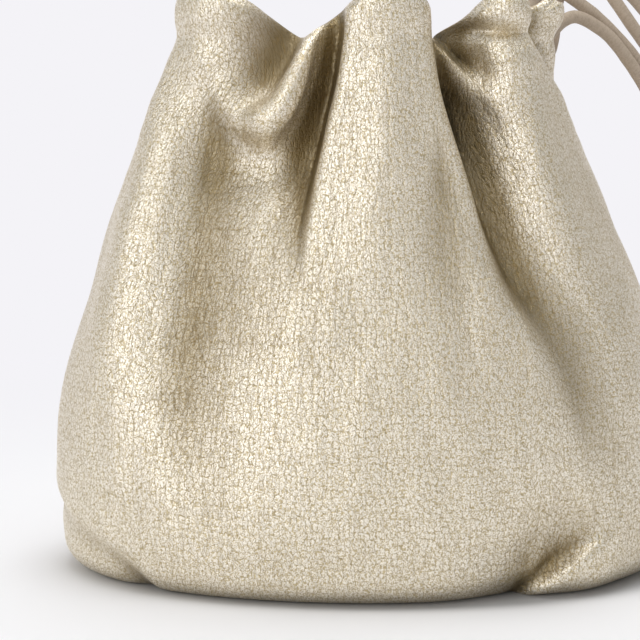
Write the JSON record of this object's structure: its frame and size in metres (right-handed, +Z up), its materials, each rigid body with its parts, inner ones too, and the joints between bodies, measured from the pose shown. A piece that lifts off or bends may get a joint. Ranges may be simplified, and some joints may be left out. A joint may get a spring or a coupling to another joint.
{
  "type": "kinchaku drawstring pouch",
  "caption": "Soft pebbled leather kinchaku pouch on a flat oval base, gathered at its neck by round drawcords that leave through a hole at one side and hang knotted.",
  "frame": {"origin": "middle of the pouch's box, on the surface that it stands on", "axes": "+X along the pouch's width towards the side that the cords leave from, +Y from the front to the back, +Z up to the mouth"},
  "size_m": [0.2479, 0.118, 0.1929],
  "materials": {
    "pouch_leather": "shrunken pebbled leather with a metallic champagne gold face",
    "cord_leather": "matte taupe round leather cord"
  },
  "bodies": {
    "root": {"pouch": "pouch_leather", "neck_cord_upper": "cord_leather", "neck_cord_lower": "cord_leather", "cord_a_front": "cord_leather", "cord_a_back": "cord_leather", "cord_b_front": "cord_leather", "cord_b_back": "cord_leather", "knot_a": "cord_leather", "knot_b": "cord_leather"}
  },
  "joints": []
}
